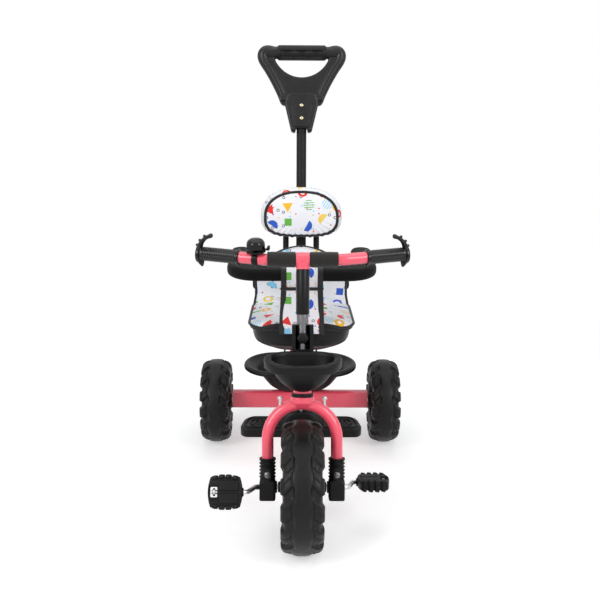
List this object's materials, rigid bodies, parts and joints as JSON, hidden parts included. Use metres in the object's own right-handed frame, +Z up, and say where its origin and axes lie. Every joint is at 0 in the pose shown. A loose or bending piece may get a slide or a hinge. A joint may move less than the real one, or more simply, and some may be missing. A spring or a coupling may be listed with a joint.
{
  "type": "toddler push along trike",
  "caption": "Child's push-along tricycle with pedals on the front wheel, steered fork, guarded padded seat, baskets, foot rest and a rear push pole.",
  "frame": {"origin": "on the ground under the middle of the object's box", "axes": "+Z up, -Y forward, +X to the right in the picture"},
  "size_m": [0.464, 0.703, 0.9163],
  "materials": {
    "tyre": "matt moulded black",
    "black_plastic": "satin moulded black",
    "gloss_black": "glossy black",
    "pink_paint": "glossy coral pink enamel",
    "steel": "zinc plated",
    "chrome": "polished",
    "black_metal": "black enamel",
    "foam": "matt closed-cell foam",
    "grip_rubber": "moulded rubber",
    "print_fabric": "white cotton with small coloured shapes, black piping",
    "screw_brass": "passivated"
  },
  "bodies": {
    "frame": {"main_frame": "pink_paint", "axle_bar": "pink_paint", "rear_axle": "steel", "hub_caps": "steel", "headset_lower": "black_plastic", "headset_upper": "black_plastic", "rear_basket": "black_plastic", "basket_stays": "black_metal", "foot_rest": "black_plastic", "foot_screws": "steel", "seat_shell": "black_plastic", "seat_bolts": "steel", "seat_cushion": "print_fabric", "back_tubes": "black_metal", "back_board": "black_plastic", "back_pad": "print_fabric", "tube_clips": "steel"},
    "steering": {"fork": "pink_paint", "fork_sleeve_left": "black_plastic", "fork_sleeve_right": "black_plastic", "fork_bolts": "steel", "axle_bushes": "black_plastic", "steerer_tube": "chrome", "head_shroud": "black_plastic", "front_basket": "black_plastic", "basket_studs": "steel"},
    "bars": {"stem_tube": "chrome", "stem_sleeve": "foam", "handlebar": "pink_paint", "foam_left": "foam", "foam_right": "foam", "grip_left": "grip_rubber", "grip_right": "grip_rubber", "bell_base": "black_plastic", "bell_dome": "gloss_black"},
    "bell_thumb": {"bell_lever": "black_plastic"},
    "stem_clamp": {"stem_knob": "black_plastic"},
    "front_wheel": {"front_tyre": "tyre", "front_rim": "black_plastic", "crank_axle": "steel", "wheel_spacers": "black_plastic", "pedal_caps": "steel"},
    "left_pedal": {"pedal_left": "black_plastic"},
    "right_pedal": {"pedal_right": "black_plastic"},
    "left_wheel": {"rear_tyre_left": "tyre", "rear_rim_left": "black_plastic"},
    "right_wheel": {"rear_tyre_right": "tyre", "rear_rim_right": "black_plastic"},
    "guard": {"guard_ring": "black_plastic", "guard_bolts": "steel", "guard_cover": "print_fabric"},
    "panel": {"crotch_panel": "print_fabric"},
    "push_bar": {"push_pole": "black_metal", "push_handle": "black_plastic", "push_grip": "grip_rubber", "handle_screws": "screw_brass"},
    "pole_clamp": {"pole_knob": "black_plastic"}
  },
  "joints": [
    {"name": "steering_turn", "type": "hinge", "parent": "frame", "child": "steering", "pos_m": [0, -0.18084, 0.29539], "axis": [0, 0.2588, 0.9659], "range_deg": [-30, 30]},
    {"name": "handlebar_height", "type": "slide", "parent": "steering", "child": "bars", "axis": [0, 0.2588, 0.9659], "range_m": [0, 0.025]},
    {"name": "bell_thumb_press", "type": "hinge", "parent": "bars", "child": "bell_thumb", "pos_m": [-0.08732, -0.11496, 0.5546], "axis": [0, -0.1045, 0.9945], "range_deg": [0, 28], "stiffness_Nm_per_rad": 0.02},
    {"name": "stem_clamp_turn", "type": "hinge", "parent": "steering", "child": "stem_clamp", "pos_m": [0, -0.17823, 0.40174], "axis": [0, -0.9659, 0.2588], "continuous": true},
    {"name": "front_wheel_spin", "type": "hinge", "parent": "steering", "child": "front_wheel", "pos_m": [0, -0.2265, 0.125], "axis": [1, 0, 0], "continuous": true},
    {"name": "left_pedal_spin", "type": "hinge", "parent": "front_wheel", "child": "left_pedal", "pos_m": [0, -0.28758, 0.14723], "axis": [1, 0, 0], "continuous": true},
    {"name": "right_pedal_spin", "type": "hinge", "parent": "front_wheel", "child": "right_pedal", "pos_m": [0, -0.16542, 0.10277], "axis": [1, 0, 0], "continuous": true},
    {"name": "left_wheel_spin", "type": "hinge", "parent": "frame", "child": "left_wheel", "pos_m": [-0.198, 0.2535, 0.098], "axis": [1, 0, 0], "continuous": true},
    {"name": "right_wheel_spin", "type": "hinge", "parent": "frame", "child": "right_wheel", "pos_m": [0.198, 0.2535, 0.098], "axis": [1, 0, 0], "continuous": true},
    {"name": "guard_lift", "type": "hinge", "parent": "frame", "child": "guard", "pos_m": [0, 0.18397, 0.45599], "axis": [-1, 0, 0], "range_deg": [0, 60]},
    {"name": "panel_hang", "type": "hinge", "parent": "guard", "child": "panel", "pos_m": [0, -0.00903, 0.44899], "axis": [-1, 0, 0], "range_deg": [-60, 0]},
    {"name": "push_pole_lift", "type": "slide", "parent": "frame", "child": "push_bar", "axis": [0, 0.2079, 0.9781], "range_m": [0, 0.14]},
    {"name": "pole_clamp_turn", "type": "hinge", "parent": "frame", "child": "pole_clamp", "pos_m": [0, 0.20035, 0.22039], "axis": [0, 0.9781, -0.2079], "continuous": true}
  ],
  "couplings": [
    {"joint": "panel_hang", "follows": "guard_lift", "ratio": -1}
  ]
}
